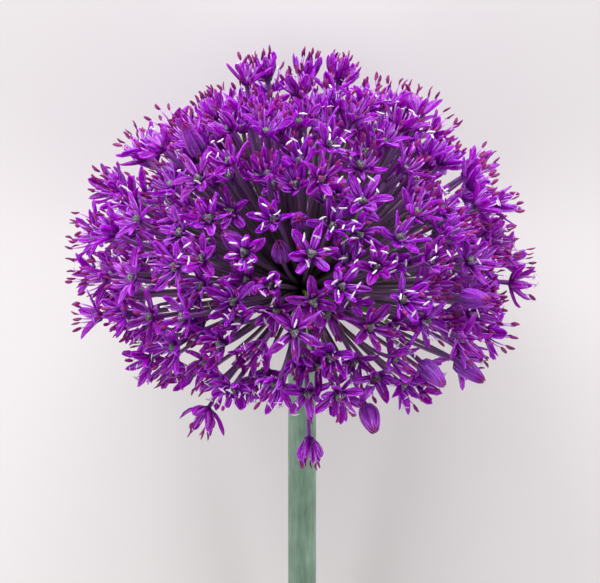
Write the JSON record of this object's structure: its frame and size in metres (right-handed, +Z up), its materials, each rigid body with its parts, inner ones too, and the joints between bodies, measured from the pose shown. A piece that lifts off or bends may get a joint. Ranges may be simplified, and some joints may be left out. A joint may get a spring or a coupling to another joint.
{
  "type": "allium flower head",
  "caption": "Cut allium flower lying on its side: a globe of small purple star florets on thin stalks that radiate from the tip of a short bare green stem.",
  "frame": {"origin": "on the surface that the flower lies on, at the middle of its footprint", "axes": "+Z up, +Y from the stem's cut end towards the crown of the umbel, along the surface, +X across"},
  "size_m": [0.0976, 0.1681, 0.0914],
  "materials": {
    "scape": "satin",
    "umbel": "satin"
  },
  "bodies": {
    "root": {"scape": "scape", "umbel": "umbel"}
  },
  "joints": []
}
